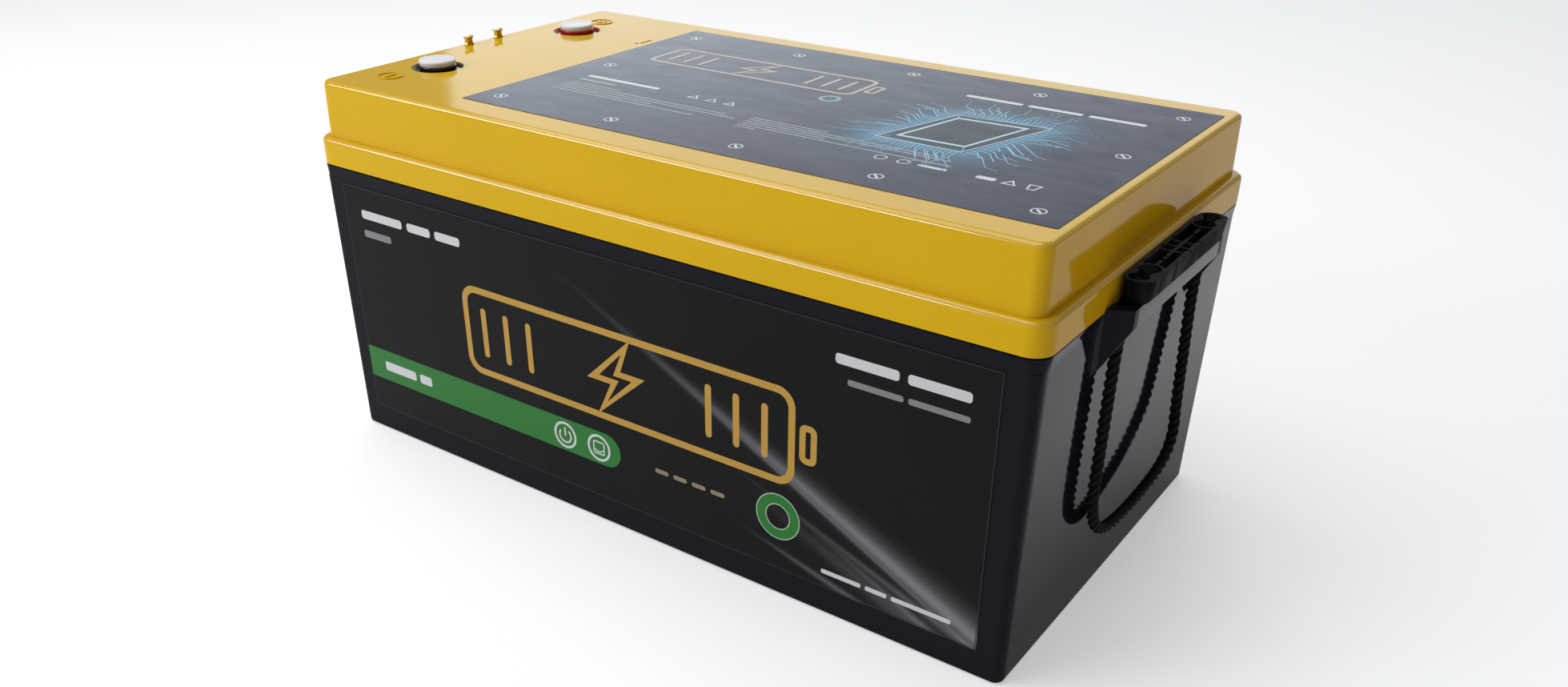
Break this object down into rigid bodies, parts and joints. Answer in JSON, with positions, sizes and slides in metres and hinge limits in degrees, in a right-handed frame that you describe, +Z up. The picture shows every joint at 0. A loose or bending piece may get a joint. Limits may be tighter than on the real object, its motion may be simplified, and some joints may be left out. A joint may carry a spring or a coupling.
{
  "type": "deep cycle battery",
  "caption": "Deep cycle lithium battery: black case with a yellow two-tier lid, two capped terminals on top, and a rope handle on each end.",
  "frame": {"origin": "middle of the case's underside", "axes": "+X along the case to the right-hand handle, -Y towards the labelled front, +Z up"},
  "size_m": [0.562, 0.289, 0.259],
  "materials": {
    "case_black": "glossy moulded polypropylene",
    "lid_yellow": "glossy moulded plastic",
    "seal_rubber": "soft rubber",
    "top_print": "satin printed film",
    "front_print": "printed film, satin gloss",
    "terminal_brass": "turned brass",
    "collar_black": "moulded plastic",
    "collar_red": "moulded plastic",
    "cap_white": "moulded plastic",
    "steel": "zinc plated",
    "grip_black": "moulded plastic, light sheen",
    "rope_black": "twisted nylon cord",
    "cell_film": "blue film over an aluminium can",
    "insulator_sheet": "pale fibre sheet",
    "plate_aluminium": "milled",
    "link_copper": "bare copper",
    "foam": "closed-cell foam",
    "heat_sink_aluminium": "extruded",
    "board_green": "solder mask",
    "component_black": "moulded package",
    "capacitor_blue": "sleeved",
    "connector_white": "moulded nylon",
    "cable_red": "insulated cable",
    "cable_black": "insulated cable",
    "lug_tinned": "tinned copper"
  },
  "bodies": {
    "case": {"cell_01": "cell_film", "cell_02": "cell_film", "cell_03": "cell_film", "cell_04": "cell_film", "cell_05": "cell_film", "cell_06": "cell_film", "cell_07": "cell_film", "cell_08": "cell_film", "cell_09": "cell_film", "cell_10": "cell_film", "cell_11": "cell_film", "cell_12": "cell_film", "cell_13": "cell_film", "cell_14": "cell_film", "cell_15": "cell_film", "cell_16": "cell_film", "case_tub": "case_black", "lid": "lid_yellow", "lid_seal": "seal_rubber", "top_label": "top_print", "front_label": "front_print", "terminal_negative": "terminal_brass", "terminal_positive": "terminal_brass", "collar_negative": "collar_black", "collar_positive": "collar_red", "terminal_nuts": "steel", "cell_insulators": "insulator_sheet", "row_divider": "insulator_sheet", "end_plate_left": "plate_aluminium", "end_plate_right": "plate_aluminium", "cell_straps": "steel", "cell_links": "link_copper", "cell_nuts": "steel", "base_pad": "foam", "side_pad_front": "foam", "side_pad_rear": "foam", "end_foam_block": "foam", "bms_bracket": "steel", "bms_heat_sink": "heat_sink_aluminium", "bms_board": "board_green", "bms_standoffs": "terminal_brass", "bms_screws": "steel", "bms_transistors": "component_black", "bms_capacitors": "capacitor_blue", "bms_connector": "connector_white", "bms_output_blocks": "terminal_brass", "cable_positive": "cable_red", "cable_negative": "cable_black", "cable_pack": "cable_black", "cable_lugs": "lug_tinned", "sense_harness": "cable_black"},
    "handle_right": {"grip_right": "grip_black", "rope_right": "rope_black", "rope_knots_right": "rope_black"},
    "handle_left": {"grip_left": "grip_black", "rope_left": "rope_black", "rope_knots_left": "rope_black"},
    "negative_cap": {"cap_negative": "cap_white"},
    "positive_cap": {"cap_positive": "cap_white"}
  },
  "joints": [
    {"name": "grip_right_lift", "type": "slide", "parent": "case", "child": "handle_right", "axis": [0, 0, 1], "range_m": [0, 0.1]},
    {"name": "grip_left_lift", "type": "slide", "parent": "case", "child": "handle_left", "axis": [0, 0, 1], "range_m": [0, 0.1]},
    {"name": "cap_negative_lift", "type": "slide", "parent": "case", "child": "negative_cap", "axis": [0, 0, 1], "range_m": [0, 0.04]},
    {"name": "cap_positive_lift", "type": "slide", "parent": "case", "child": "positive_cap", "axis": [0, 0, 1], "range_m": [0, 0.04]}
  ]
}
